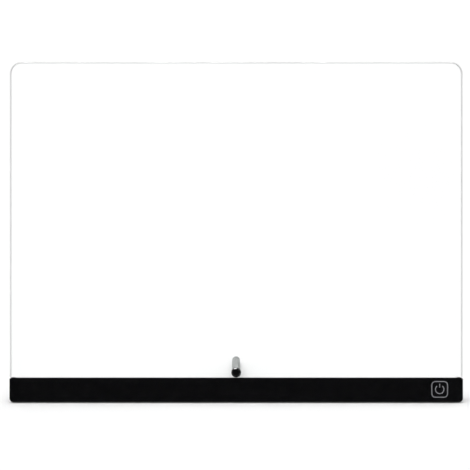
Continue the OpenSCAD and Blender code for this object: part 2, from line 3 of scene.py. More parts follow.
import bmesh
import bpy
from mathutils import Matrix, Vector


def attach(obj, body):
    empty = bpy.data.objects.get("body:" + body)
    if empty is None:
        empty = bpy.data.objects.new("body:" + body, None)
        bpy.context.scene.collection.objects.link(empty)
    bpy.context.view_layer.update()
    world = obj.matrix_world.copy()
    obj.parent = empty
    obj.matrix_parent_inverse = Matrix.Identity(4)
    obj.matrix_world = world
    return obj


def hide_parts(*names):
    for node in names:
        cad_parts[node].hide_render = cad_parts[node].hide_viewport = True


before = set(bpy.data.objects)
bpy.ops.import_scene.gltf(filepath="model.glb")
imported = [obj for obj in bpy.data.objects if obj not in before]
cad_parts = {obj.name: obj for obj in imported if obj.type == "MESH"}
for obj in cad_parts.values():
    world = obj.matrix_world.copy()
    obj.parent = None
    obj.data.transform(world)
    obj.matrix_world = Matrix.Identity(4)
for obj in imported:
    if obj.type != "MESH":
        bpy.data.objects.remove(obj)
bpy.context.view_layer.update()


# Clear panel: a 4 mm sheet of cast acrylic, saw-cut to shape with two rounded top corners. Its
# faces are polished as cast and its cut edges are finely frosted, with bevelled arrises. It drops
# into the bar's slot and stands on two shoulders, with one drilled hole for the leg's stud.
MM_IN_M = 1000.0
LEAN = math.radians(12.0)
SET_BACK = 10.2234
STRIP_PROUD = 0.6


def stood(x, y, z):
    """Metres in the frame, from millimetres on the upright board: right, back, up the panel."""
    return Vector((
        x,
        y * math.cos(LEAN) + z * math.sin(LEAN) - SET_BACK,
        z * math.cos(LEAN) - y * math.sin(LEAN) + STRIP_PROUD,
    )) / MM_IN_M


def at_depth(depth, x_of=0.0, z_of=0.0):
    """Where an outline's points come to lie at one depth of the board, about a centre."""
    return lambda x, z: stood(x_of + x, depth, z_of + z)


class Tap:
    """One output of a node. Taps reckon like numbers, and each step adds a Math node."""

    def __init__(self, tree, socket=None):
        self.tree = tree
        self.socket = socket

    def node(self, kind, settings, sockets, out=0):
        """A new node: its settings first, then the values or links of its sockets."""
        made = self.tree.nodes.new(kind)
        for name, value in settings.items():
            setattr(made, name, value)
        for key, value in sockets.items():
            for one in value if isinstance(value, list) else [value]:
                if isinstance(one, Tap):
                    self.tree.links.new(one.socket, made.inputs[key])
                else:
                    made.inputs[key].default_value = one
        return Tap(self.tree, made.outputs[out]) if made.outputs else made

    def reckon(self, operation, first, second):
        return self.node("ShaderNodeMath", {"operation": operation}, {0: first, 1: second})

    def __add__(self, other):
        return self.reckon("ADD", self, other)

    def __radd__(self, other):
        return self.reckon("ADD", other, self)

    def __sub__(self, other):
        return self.reckon("SUBTRACT", self, other)

    def __rsub__(self, other):
        return self.reckon("SUBTRACT", other, self)

    def __mul__(self, other):
        return self.reckon("MULTIPLY", self, other)

    def __rmul__(self, other):
        return self.reckon("MULTIPLY", other, self)

    def __gt__(self, other):
        return self.reckon("GREATER_THAN", self, other)

    def __lt__(self, other):
        return self.reckon("LESS_THAN", self, other)


def finish_of(name, shade):
    """A material whose surface is what shade(start) returns."""
    material = bpy.data.materials.new(name)
    material.use_nodes = True
    material.node_tree.nodes.clear()
    start = Tap(material.node_tree)
    start.node("ShaderNodeOutputMaterial", {}, {"Surface": shade(start)})
    return material


def place_on_board(start):
    """Where a point lies on the upright board, in metres: the object's place, leaned upright."""
    place = start.node("ShaderNodeTexCoord", {}, {}, "Object")
    return start.node("ShaderNodeMapping", {}, {"Vector": place, "Rotation": (LEAN, 0.0, 0.0)})


def speckle(start, place, scale, detail=2.0):
    """Even noise from 0 to 1 over a place."""
    return start.node(
        "ShaderNodeTexNoise", {}, {"Vector": place, "Scale": scale, "Detail": detail}, "Fac"
    )


def stretched(start, place, by):
    """A place drawn out along one way, so that a noise on it runs in lines."""
    return start.node("ShaderNodeVectorMath", {"operation": "MULTIPLY"}, {0: place, 1: by})


def blended(start, share, low, high):
    """A colour between two colours."""
    return start.node(
        "ShaderNodeMix", {"data_type": "RGBA"},
        {"Factor": share, 6: (*low, 1.0), 7: (*high, 1.0)}, 2
    )


def raised(start, height_and_pit_shade, distance):
    """A normal from a height that runs from 0 to 1, and what 1 stands for in metres."""
    return start.node(
        "ShaderNodeBump", {}, {"Height": height_and_pit_shade, "Distance": distance, "Strength": 1.0}
    )


def surface(start, sockets):
    """A Principled surface with some of its sockets set or linked."""
    return start.node("ShaderNodeBsdfPrincipled", {}, sockets)


def polished_acrylic(start):
    sheet = surface(start, {
        "Base Color": (0.99, 0.995, 0.993, 1.0), "Roughness": 0.0,
        "IOR": 1.49, "Transmission Weight": 1.0,
    })
    open_way = start.node("ShaderNodeBsdfTransparent", {}, {"Color": (0.96, 0.97, 0.97, 1.0)})
    lamp_ray = start.node("ShaderNodeLightPath", {}, {}, "Is Shadow Ray")
    return start.node("ShaderNodeMixShader", {}, {0: lamp_ray, 1: sheet, 2: open_way})


def frosted_edge(start):
    place = place_on_board(start)
    saw_lines = speckle(start, stretched(start, place, (260.0, 3000.0, 260.0)), 1.0)
    grain = speckle(start, place, 5200.0)
    return surface(start, {
        "Base Color": blended(start, saw_lines, (0.72, 0.72, 0.72), (0.80, 0.80, 0.80)),
        "Roughness": 0.34 + 0.2 * grain,
        "Normal": raised(start, saw_lines * 0.7 + grain * 0.3, 0.00004),
        "IOR": 1.49, "Transmission Weight": 0.15, "Specular IOR Level": 0.0,
    })


def rounded(corners, radii, steps):
    """An outline with each corner rounded to its own radius."""
    points = []
    for i, (corner, radius) in enumerate(zip(corners, radii)):
        here = Vector(corner)
        if radius == 0:
            points.append(here)
            continue
        back = (Vector(corners[i - 1]) - here).normalized()
        on = (Vector(corners[(i + 1) % len(corners)]) - here).normalized()
        half = back.angle(on) / 2
        centre = here + (back + on).normalized() * radius / math.sin(half)
        first = (here + back * radius / math.tan(half) - centre) / radius
        last = (here + on * radius / math.tan(half) - centre) / radius
        points += [centre + first.slerp(last, k / steps) * radius for k in range(steps + 1)]
    return points


def drawn_in(points, by):
    """An anticlockwise outline drawn in by a distance."""
    result = []
    for i, here in enumerate(points):
        a = (here - points[i - 1]).normalized()
        b = (points[(i + 1) % len(points)] - here).normalized()
        a, b = Vector((-a.y, a.x)), Vector((-b.y, b.x))
        result.append(here + (a + b) * by / (1.0 + a.dot(b)))
    return result


def circle(radius, sides):
    """Points around the origin, anticlockwise."""
    turns = [2.0 * math.pi * k / sides for k in range(sides)]
    return [Vector((radius * math.cos(turn), radius * math.sin(turn))) for turn in turns]


def ring_of(bm, points, place):
    """New corners of a mesh at an outline's points."""
    return [bm.verts.new(place(*p)) for p in points]


def skin(bm, rings, material=0, closed=True):
    """Walls from ring to ring. A ring of one corner is a pole."""
    for low, high in zip(rings, rings[1:]):
        count = max(len(low), len(high))
        for k in range(count if closed else count - 1):
            n = (k + 1) % count
            if len(low) == 1:
                corners = (low[0], high[n], high[k])
            elif len(high) == 1:
                corners = (low[k], low[n], high[0])
            else:
                corners = (low[k], low[n], high[n], high[k])
            bm.faces.new(corners).material_index = material


def lid(bm, ring, material=0):
    """A flat face over a ring."""
    bm.faces.new(ring).material_index = material


def mesh_from(bm, name):
    """A plain mesh with its faces outwards."""
    bmesh.ops.recalc_face_normals(bm, faces=bm.faces)
    mesh = bpy.data.meshes.new(name)
    bm.to_mesh(mesh)
    bm.free()
    return mesh


WIDE_FLAT = 0.0004
SAME_PLANE = 0.99999


def flats_parted(mesh):
    """Makes the borders of wide flat faces sharp, so that a rounding beside one can't tint it."""
    bm = bmesh.new()
    bm.from_mesh(mesh)
    known = set()
    for first in bm.faces:
        if first in known:
            continue
        known.add(first)
        flat = [first]
        for face in flat:
            for other in (o for edge in face.edges for o in edge.link_faces):
                if other not in known and other.normal.dot(first.normal) > SAME_PLANE:
                    known.add(other)
                    flat.append(other)
        if sum(face.calc_area() for face in flat) > WIDE_FLAT:
            for edge in {edge for face in flat for edge in face.edges}:
                if any(face not in flat for face in edge.link_faces):
                    edge.smooth = False
    bm.to_mesh(mesh)
    bm.free()


def fitted(name, mesh, finishes, body, nodes=(), crease=28.0):
    """A finished piece: its materials, its soft and sharp edges, and what it rides and replaces."""
    for finish in finishes:
        mesh.materials.append(finish)
    mesh.shade_smooth()
    mesh.set_sharp_from_angle(angle=math.radians(crease))
    flats_parted(mesh)
    piece = bpy.data.objects.new(name, mesh)
    bpy.context.scene.collection.objects.link(piece)
    flats = piece.modifiers.new("flats", "WEIGHTED_NORMAL")
    flats.keep_sharp = True
    graph = bpy.context.evaluated_depsgraph_get()
    piece.data = bpy.data.meshes.new_from_object(piece.evaluated_get(graph))
    piece.modifiers.remove(flats)
    piece.data.name = name
    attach(piece, body)
    if nodes:
        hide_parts(*nodes)
    return piece


PANEL_FRONT, PANEL_BACK = 5.5, 9.5
PANEL_HALF, PANEL_TOP = 200.0, 300.0
TONGUE_HALF, TONGUE_FOOT = 194.7, 16.5006
BAR_TOP = 21.3
LEG_RISE = 25.7
CORNER_R, CORNER_STEPS = 10.5, 24
ARRIS = 1.2
HOLE_R, HOLE_ARRIS, HOLE_SIDES = 2.1, 0.3, 40
TOUCHING = 0.01
panel_outline = rounded(
    [
        (-TONGUE_HALF, TONGUE_FOOT), (TONGUE_HALF, TONGUE_FOOT), (TONGUE_HALF, BAR_TOP),
        (PANEL_HALF, BAR_TOP), (PANEL_HALF, PANEL_TOP), (-PANEL_HALF, PANEL_TOP),
        (-PANEL_HALF, BAR_TOP), (-TONGUE_HALF, BAR_TOP),
    ],
    [0, 0, 0, 0, CORNER_R, CORNER_R, 0, 0], CORNER_STEPS
)
panel_narrow = drawn_in(panel_outline, ARRIS)
for narrow, full in zip(panel_narrow, panel_outline):
    if full.y < BAR_TOP + TOUCHING:
        narrow.y = full.y
        narrow.x = max(ARRIS - PANEL_HALF, min(PANEL_HALF - ARRIS, full.x))
hole, wide_hole = circle(HOLE_R, HOLE_SIDES), circle(HOLE_R + HOLE_ARRIS, HOLE_SIDES)
bm = bmesh.new()
edge_rings, hole_rings = [], []
for depth, edge, bore in (
    (PANEL_FRONT, panel_narrow, wide_hole), (PANEL_FRONT + ARRIS, panel_outline, hole),
    (PANEL_BACK - ARRIS, panel_outline, hole), (PANEL_BACK, panel_narrow, wide_hole),
):
    edge_rings.append(ring_of(bm, edge, at_depth(depth)))
    hole_rings.append(ring_of(bm, bore, at_depth(depth, z_of=LEG_RISE)))
skin(bm, edge_rings, 1)
skin(bm, hole_rings, 1)
for face in (0, -1):
    rims = [
        bm.edges.get((ring[k - 1], ring[k]))
        for ring in (edge_rings[face], hole_rings[face]) for k in range(len(ring))
    ]
    bmesh.ops.triangle_fill(bm, use_beauty=True, edges=rims)
fitted(
    "panel_sheet", mesh_from(bm, "panel_sheet"),
    [finish_of("polished_acrylic", polished_acrylic), finish_of("frosted_edge", frosted_edge)],
    "base", ["clear_panel"]
)


# Front cover: the bar's moulded front shell in black ABS, its face polished to a high gloss and
# its top, ends and sole left dull, with a rounded edge all round and a square window for the key.
# Six screws from the back draw it onto the rear housing.
def gloss_black(start):
    place = place_on_board(start)
    flow = speckle(start, place, 160.0)
    dust = speckle(start, place, 1900.0) > 0.73
    hairlines = speckle(start, stretched(start, place, (55.0, 55.0, 6500.0)), 1.0) > 0.66
    return surface(start, {
        "Base Color": blended(
            start, 0.1 * flow + 0.9 * dust, (0.0024, 0.0024, 0.0029), (0.028, 0.028, 0.029)
        ),
        "Roughness": 0.06 + 0.04 * flow + 0.09 * hairlines + 0.2 * dust,
        "Normal": raised(start, flow, 0.00001),
        "IOR": 1.5,
    })


def dull_black(start):
    grain = speckle(start, place_on_board(start), 2400.0, 3.0)
    return surface(start, {
        "Base Color": blended(start, grain, (0.003, 0.003, 0.0033), (0.007, 0.007, 0.0075)),
        "Roughness": 0.62 + 0.16 * grain,
        "Normal": raised(start, grain, 0.00003),
        "Specular IOR Level": 0.0,
    })


LOOSE, TIGHT = 1e-6, 1e-7


def welded(bm, within):
    """Merges corners that lie in one place, within a distance in metres."""
    bmesh.ops.remove_doubles(bm, verts=bm.verts, dist=within)


def copied(node):
    """A copy of a CAD node's mesh, its loose triangles merged."""
    bm = bmesh.new()
    bm.from_mesh(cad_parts[node].data)
    welded(bm, LOOSE)
    bm.normal_update()
    return bm


def grained_black(start):
    place = place_on_board(start)
    grain = speckle(start, place, 2600.0, 3.0)
    pits = start.node(
        "ShaderNodeTexVoronoi", {}, {"Vector": place, "Scale": 2100.0}, "Distance"
    )
    handled = speckle(start, place, 55.0)
    # The colour darkens where the grain lies low: the grain's own tone, with painted shade in its
    # pits.
    height_and_pit_shade = 0.55 * grain + 0.6 * pits
    return surface(start, {
        "Base Color": blended(
            start, height_and_pit_shade * 1.5 - 0.35, (0.004, 0.004, 0.0043), (0.021, 0.021, 0.022)
        ),
        "Roughness": 0.4 + 0.2 * grain + 0.12 * handled,
        "Normal": raised(start, height_and_pit_shade, 0.00009),
        "Specular IOR Level": 0.3,
    })


TO_FRONT = Vector((0.0, -math.cos(LEAN), math.sin(LEAN)))
FACING = 0.97


def polished_in_front(bm):
    """Marks flat front faces 0, ends 2 and all others 1."""
    bmesh.ops.recalc_face_normals(bm, faces=bm.faces)
    for face in bm.faces:
        if face.normal.dot(TO_FRONT) > FACING:
            face.material_index = 0
        else:
            face.material_index = 2 if abs(face.normal.x) > FACING else 1


gloss = finish_of("gloss_black_abs", gloss_black)
dull = finish_of("dull_black_abs", dull_black)
grained = finish_of("grained_black_abs", grained_black)
bm = copied("front_cover")
polished_in_front(bm)
fitted(
    "front_shell", mesh_from(bm, "front_shell"), [gloss, dull, grained],
    "base", ["front_cover"]
)


# Rear housing: the back shell, moulded in the same black ABS with a fine spark-eroded grain. It
# holds the battery bay, the screw bosses and the slot's rear jaw.
fitted(
    "rear_shell", mesh_from(copied("rear_housing"), "rear_shell"), [grained],
    "base", ["rear_housing"]
)


# Slot foam: two self-adhesive strips of black closed-cell foam, squeezed between the panel and
# the slot's jaws, so that the panel can't rattle. Their free upper edges bulge a little.
def cell_foam(start):
    place = place_on_board(start)
    cells = start.node(
        "ShaderNodeTexVoronoi", {"feature": "DISTANCE_TO_EDGE"},
        {"Vector": place, "Scale": 3200.0}, "Distance"
    )
    return surface(start, {
        "Base Color": blended(start, cells, (0.02, 0.02, 0.021), (0.05, 0.05, 0.052)),
        "Roughness": 0.92 - 0.1 * cells,
        "Normal": raised(start, cells, 0.0001),
    })


def closed_loft(bm, rings, material=0):
    """A solid through rings with flat ends."""
    skin(bm, rings, material)
    lid(bm, rings[0][::-1], material)
    lid(bm, rings[-1], material)


FOAM_T, FOAM_LOW = 0.5, 16.981
FRONT_FOAM_TOP, REAR_FOAM_TOP = 20.916, 19.428
SHOULDER, CROWN = 0.25, 0.06
bm = bmesh.new()
for near, top in ((PANEL_FRONT - FOAM_T, FRONT_FOAM_TOP), (PANEL_BACK, REAR_FOAM_TOP)):
    section = [
        (near, FOAM_LOW), (near + FOAM_T, FOAM_LOW), (near + FOAM_T, top - SHOULDER),
        (near + 0.8 * FOAM_T, top - CROWN), (near + 0.5 * FOAM_T, top),
        (near + 0.2 * FOAM_T, top - CROWN), (near, top - SHOULDER),
    ]
    closed_loft(bm, [
        ring_of(bm, section, lambda y, z: stood(x, y, z)) for x in (-TONGUE_HALF, 0.0, TONGUE_HALF)
    ])
fitted(
    "foam_strips", mesh_from(bm, "foam_strips"), [finish_of("closed_cell_foam", cell_foam)],
    "base", ["slot_foam"]
)


# Lit strip: a narrow white-masked circuit board on ledges under the panel's lower edge, with
# surface-mounted white LEDs along it. They shine up into the sheet. Reflow-soldered.
def white_mask(start):
    place = place_on_board(start)
    ribbon = start.node("ShaderNodeTexWave", {"bands_direction": "Y"}, {
        "Vector": place, "Scale": 900.0, "Distortion": 0.6,
    }, "Fac")
    traces = (ribbon > 0.72) * (speckle(start, place, 90.0) > 0.42)
    return surface(start, {
        "Base Color": blended(start, traces, (0.80, 0.80, 0.78), (0.70, 0.70, 0.66)),
        "Roughness": 0.38 + 0.05 * speckle(start, place, 1500.0),
        "Normal": raised(start, traces, 0.00002),
    })


def led_case(start):
    grain = speckle(start, place_on_board(start), 4000.0)
    return surface(start, {
        "Base Color": blended(start, grain, (0.78, 0.78, 0.76), (0.86, 0.86, 0.84)),
        "Roughness": 0.42 + 0.1 * grain,
    })


def phosphor(start):
    grain = speckle(start, place_on_board(start), 9000.0)
    return surface(start, {
        "Base Color": blended(start, grain, (0.80, 0.62, 0.10), (0.90, 0.74, 0.22)),
        "Roughness": 0.22 + 0.12 * grain,
        "Coat Weight": 0.6,
    })


def new_growth(name, sizes):
    """A geometry tree with named inputs for its sizes: the tree, a start and the inputs' taps."""
    tree = bpy.data.node_groups.new(name, "GeometryNodeTree")
    for label, kind in sizes.items():
        tree.interface.new_socket(label, in_out="INPUT", socket_type="NodeSocket" + kind)
    tree.interface.new_socket("Geometry", in_out="OUTPUT", socket_type="NodeSocketGeometry")
    entry = tree.nodes.new("NodeGroupInput")
    return tree, Tap(tree), {label: Tap(tree, entry.outputs[label]) for label in sizes}


def vector_of(start, x=0.0, y=0.0, z=0.0):
    """A vector from numbers or taps."""
    return start.node("ShaderNodeCombineXYZ", {}, {0: x, 1: y, 2: z})


def block(start, x, y, z):
    """A box about the origin."""
    return start.node("GeometryNodeMeshCube", {}, {"Size": vector_of(start, x, y, z)})


def moved(start, grown, **ways):
    """What grew, after a Scale, a Rotation and a Translation."""
    return start.node("GeometryNodeTransform", {}, {"Geometry": grown, **ways})


def joined(start, parts):
    """Several things that grew, as one."""
    return start.node("GeometryNodeJoinGeometry", {}, {"Geometry": parts})


def set_in_row(start, thing, count, seat, step):
    """Copies of a thing in a straight row from a seat."""
    row = start.node("GeometryNodeMeshLine", {}, {
        "Count": count, "Start Location": seat, "Offset": step,
    })
    return start.node("GeometryNodeInstanceOnPoints", {}, {"Points": row, "Instance": thing})


def leaned(start, grown):
    """Leans what grew upright on the board back into its place, made real."""
    real = start.node("GeometryNodeRealizeInstances", {}, {"Geometry": grown})
    return moved(
        start, real, Rotation=(-LEAN, 0.0, 0.0),
        Translation=(0.0, -SET_BACK / MM_IN_M, STRIP_PROUD / MM_IN_M)
    )


def painted(start, grown, finish):
    """Gives what grew its finish."""
    return start.node("GeometryNodeSetMaterial", {}, {"Geometry": grown, "Material": finish})


def grown_mesh(tree, start, grown, values):
    """A plain mesh from a geometry tree, its inputs set before it is first worked out."""
    start.node("NodeGroupOutput", {}, {"Geometry": grown})
    seed = bpy.data.objects.new(tree.name, bpy.data.meshes.new(tree.name))
    bpy.context.scene.collection.objects.link(seed)
    growth = seed.modifiers.new("growth", "NODES")
    growth.node_group = tree
    for item in tree.interface.items_tree:
        if item.in_out == "INPUT":
            growth[item.identifier] = values[item.name]
    graph = bpy.context.evaluated_depsgraph_get()
    mesh = bpy.data.meshes.new_from_object(seed.evaluated_get(graph))
    seed.modifiers.remove(growth)
    bpy.data.objects.remove(seed)
    mesh.name = tree.name
    return mesh


def dress(node, finish):
    """Gives a CAD node's object its finish."""
    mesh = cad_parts[node].data
    mesh.materials.clear()
    mesh.materials.append(finish)


def tinned(start):
    flow = speckle(start, place_on_board(start), 700.0, 3.0)
    return surface(start, {
        "Base Color": blended(start, flow, (0.50, 0.50, 0.49), (0.68, 0.68, 0.66)),
        "Metallic": 1.0, "Roughness": 0.22 + 0.2 * flow,
        "Normal": raised(start, flow, 0.00002),
    })


dress("led_board", finish_of("white_solder_mask", white_mask))
tin = finish_of("bright_tin", tinned)
tree, start, size = new_growth("led_row", {
    "Count": "Int", "Pitch": "Float", "Length": "Float", "Width": "Float", "Height": "Float",
    "Seat": "Vector",
})
case = block(start, size["Length"] * 0.92, size["Width"], size["Height"] * 0.9)
window = start.node("GeometryNodeMeshUVSphere", {}, {
    "Segments": 20, "Rings": 8, "Radius": size["Width"] * 0.4,
})
window = moved(
    start, window, Scale=(1.15, 1.0, 0.12), Translation=vector_of(start, z=size["Height"] * 0.42)
)
ends = block(start, size["Length"] * 0.99, size["Width"] * 0.7, size["Height"] * 0.3)
ends = moved(start, ends, Translation=vector_of(start, z=size["Height"] * -0.33))
chip = joined(start, [
    painted(start, case, finish_of("led_case", led_case)),
    painted(start, window, finish_of("led_phosphor", phosphor)),
    painted(start, ends, tin),
])
chips = set_in_row(start, chip, size["Count"], size["Seat"], vector_of(start, x=size["Pitch"]))
fitted(
    "led_row",
    grown_mesh(tree, start, leaned(start, chips), {
        "Count": 19, "Pitch": 0.0165, "Length": 0.0035, "Width": 0.0028, "Height": 0.0007,
        "Seat": (-0.1485, 0.0075, 0.01575),
    }),
    [], "base", ["led_chips"]
)


# Control board: a small green-masked circuit board on two posts behind the key, with a driver
# chip and its passive parts on the back, and a square tact switch on the front.
def green_mask(start):
    place = place_on_board(start)
    copper = start.node("ShaderNodeTexBrick", {}, {
        "Vector": start.node("ShaderNodeMapping", {}, {
            "Vector": place, "Rotation": (math.pi / 2, 0.0, 0.0),
        }),
        "Scale": 420.0, "Mortar Size": 0.09,
    }, "Fac")
    pour = (speckle(start, place, 130.0) > 0.46) * copper
    return surface(start, {
        "Base Color": blended(start, pour, (0.012, 0.115, 0.045), (0.030, 0.205, 0.075)),
        "Roughness": 0.26 + 0.1 * speckle(start, place, 1800.0),
        "Normal": raised(start, pour, 0.00002),
    })


def chip_black(start):
    grain = speckle(start, place_on_board(start), 5000.0)
    return surface(start, {
        "Base Color": blended(start, grain, (0.012, 0.012, 0.013), (0.03, 0.03, 0.032)),
        "Roughness": 0.5 + 0.2 * grain,
        "Normal": raised(start, grain, 0.00002),
    })


dress("control_board", finish_of("green_solder_mask", green_mask))
epoxy = finish_of("chip_epoxy", chip_black)
for node in ("board_components", "switch_body", "switch_plunger"):
    dress(node, epoxy)


# Power key: a square cap in the same gloss ABS that stands just out of its window, with two ears
# behind the front wall and a stem that presses the switch. It moves straight in.
KEY_X, KEY_RISE = 178.4, 11.6
KEY_HALF, KEY_R, KEY_R_STEPS = 7.6, 4.0, 10
KEY_FACE, KEY_BACK = -0.3, 2.55
KEY_EDGE, EDGE_STEPS = 0.2, 4
EAR_W, EAR_HALF, EAR_TAPER = 1.0, 4.0, 0.4
STEM_R, STEM_BREAK, STEM_SIDES = 2.2, 0.15, 32


def on_key(depth):
    """A place on the key at one depth of the board."""
    return at_depth(depth, KEY_X, KEY_RISE)


def squared(half, radius):
    """A square with round corners about the origin."""
    corners = [(-half, -half), (half, -half), (half, half), (-half, half)]
    return rounded(corners, [radius] * 4, KEY_R_STEPS)


bm = bmesh.new()
cap = []
for k in range(EDGE_STEPS + 1):
    a = math.radians(90.0 * k / EDGE_STEPS)
    outline = drawn_in(squared(KEY_HALF, KEY_R), KEY_EDGE * (1.0 - math.sin(a)))
    cap.append(ring_of(bm, outline, on_key(KEY_FACE + KEY_EDGE * (1.0 - math.cos(a)))))
cap.append(ring_of(bm, squared(KEY_HALF, KEY_R), on_key(KEY_BACK)))
closed_loft(bm, cap)
for side in (-1.0, 1.0):
    root, end = KEY_HALF * side, (KEY_HALF + EAR_W) * side
    ear = [
        (root, -EAR_HALF), (end, EAR_TAPER - EAR_HALF),
        (end, EAR_HALF - EAR_TAPER), (root, EAR_HALF),
    ]
    closed_loft(bm, [ring_of(bm, ear, on_key(depth)) for depth in (1.75, 1.85, KEY_BACK)])
closed_loft(bm, [
    ring_of(bm, circle(radius, STEM_SIDES), on_key(depth))
    for radius, depth in ((STEM_R, 2.4), (STEM_R, 3.2), (STEM_R - STEM_BREAK, 3.35))
])
polished_in_front(bm)
fitted(
    "key_cap", mesh_from(bm, "key_cap"), [gloss, dull, grained],
    "key", ["power_key"]
)


# Key print: a grey outline and a plain power sign, pad-printed on the key's face in one thin,
# slightly uneven layer of ink.
INK_T = 0.02
LINE_HALF = 0.43
OUTLINE_HALF, OUTLINE_R = 6.88, 3.1
RING_R, RING_GAP, RING_STEPS = 3.7, math.radians(38.0), 56
STROKE_LOW, STROKE_TOP, STROKE_STEPS = 1.6, 5.0, 8


def grey_ink(start):
    film = speckle(start, place_on_board(start), 900.0, 3.0)
    return surface(start, {
        "Base Color": blended(start, film, (0.152, 0.154, 0.166), (0.20, 0.202, 0.216)),
        "Roughness": 0.48 + 0.12 * film,
        "Normal": raised(start, film, 0.00001),
    })


def printed(bm, inner, outer, closed):
    """A thin layer of ink between two lines of points."""
    rings = []
    for line, depth in ((inner, KEY_FACE), (inner, KEY_FACE - INK_T), (outer, KEY_FACE - INK_T),
                        (outer, KEY_FACE), (inner, KEY_FACE)):
        rings.append(ring_of(bm, line, on_key(depth)))
    skin(bm, rings, closed=closed)
    if not closed:
        for end in (0, -1):
            lid(bm, [ring[end] for ring in rings[:4]])


bm = bmesh.new()
inner, outer = (squared(OUTLINE_HALF + by, OUTLINE_R + by) for by in (-LINE_HALF, LINE_HALF))
printed(bm, inner, outer, True)
sweep = (2.0 * math.pi - 2.0 * RING_GAP) / RING_STEPS
arc = [math.pi / 2 + RING_GAP + sweep * k for k in range(RING_STEPS + 1)]
inner, outer = (
    [((RING_R + by) * math.cos(a), (RING_R + by) * math.sin(a)) for a in arc]
    for by in (-LINE_HALF, LINE_HALF)
)
printed(bm, inner, outer, False)
rise = (STROKE_TOP - STROKE_LOW) / STROKE_STEPS
stroke = [STROKE_LOW + rise * k for k in range(STROKE_STEPS + 1)]
printed(bm, [(-LINE_HALF, z) for z in stroke], [(LINE_HALF, z) for z in stroke], False)
welded(bm, TIGHT)
fitted("key_print", mesh_from(bm, "key_print"), [finish_of("grey_ink", grey_ink)], "key")


# Screws: six black-plated pan-head screws deep in the rear housing's counterbores, and two bright
# ones that hold the control board on its posts. All have a pressed cross recess.
def plated(dark, light):
    def shade(start):
        wear = speckle(start, place_on_board(start), 900.0, 3.0)
        return surface(start, {
            "Base Color": blended(start, wear, dark, light),
            "Metallic": 1.0, "Roughness": 0.3 + 0.22 * wear,
            "Normal": raised(start, wear, 0.00001),
        })
    return shade


CROSS_TURN = 0.25


def screw_growth(name):
    """A tree of one screw with a domed cross-recessed head, which points up."""
    tree, start, size = new_growth(name, {
        "Head": "Float", "Rise": "Float", "Shank": "Float", "Length": "Float", "Recess": "Float",
        "Finish": "Material",
    })
    head, rise = size["Head"], size["Rise"]
    dome = start.node("GeometryNodeMeshUVSphere", {}, {"Segments": 32, "Rings": 16, "Radius": head})
    flattened = vector_of(start, 1.0, 1.0, start.reckon("DIVIDE", rise, head))
    dome = moved(start, dome, Scale=flattened)
    under = block(start, head * 4.0, head * 4.0, rise * 2.0)
    cutters = [moved(start, under, Translation=vector_of(start, z=rise * -1.0))]
    for turn in (CROSS_TURN, CROSS_TURN + math.pi / 2):
        bar = block(start, head * 1.1, head * 0.24, size["Recess"] * 2.0)
        cutters.append(
            moved(start, bar, Rotation=(0.0, 0.0, turn), Translation=vector_of(start, z=rise))
        )
    capped = start.node(
        "GeometryNodeMeshBoolean", {"operation": "DIFFERENCE", "solver": "MANIFOLD"},
        {"Mesh 1": dome, "Mesh 2": cutters}
    )
    shank = start.node("GeometryNodeMeshCylinder", {}, {
        "Vertices": 20, "Radius": size["Shank"], "Depth": size["Length"],
    })
    shank = moved(start, shank, Translation=vector_of(start, z=size["Length"] * -0.5))
    return tree, start, size, joined(start, [capped, shank])


def screw_set(name, places, facing, values, finish):
    """Screws at places on the board, their heads to the back or the front, as one plain mesh."""
    tree, start, size, screw = screw_growth(name)
    turned = joined(start, [
        moved(
            start, screw, Rotation=(-facing * math.pi / 2, 0.0, 0.0),
            Translation=tuple(way / MM_IN_M for way in place)
        )
        for place in places
    ])
    grown = painted(start, leaned(start, turned), size["Finish"])
    return grown_mesh(tree, start, grown, dict(values, Finish=finish))


CELL_Z = 8.7506
BOARD_FRONT = 7.65
TO_THE_BACK, TO_THE_FRONT = 1, -1
CASE_SEAT, CASE_SCREW_X = 11.4, (191.7, 123.625, 82.85)
BOARD_SCREW_X, BOARD_SCREW_RISE = (166.8, 185.1), 13.7006
fitted(
    "housing_screws",
    screw_set(
        "housing_screws",
        [(x * side, CASE_SEAT, CELL_Z) for x in CASE_SCREW_X for side in (-1, 1)], TO_THE_BACK,
        {"Head": 0.0023, "Rise": 0.0017, "Shank": 0.0011, "Length": 0.0084, "Recess": 0.0011},
        finish_of("black_plated_steel", plated((0.05, 0.05, 0.052), (0.12, 0.12, 0.122)))
    ),
    [], "base", ["case_screws"]
)
fitted(
    "control_board_screws",
    screw_set(
        "control_board_screws",
        [(x, BOARD_FRONT, BOARD_SCREW_RISE) for x in BOARD_SCREW_X], TO_THE_FRONT,
        {"Head": 0.0016, "Rise": 0.0011, "Shank": 0.0008, "Length": 0.0042, "Recess": 0.0007},
        finish_of("bright_plated_steel", plated((0.45, 0.45, 0.44), (0.62, 0.62, 0.60)))
    ),
    [], "base", ["board_screws"]
)


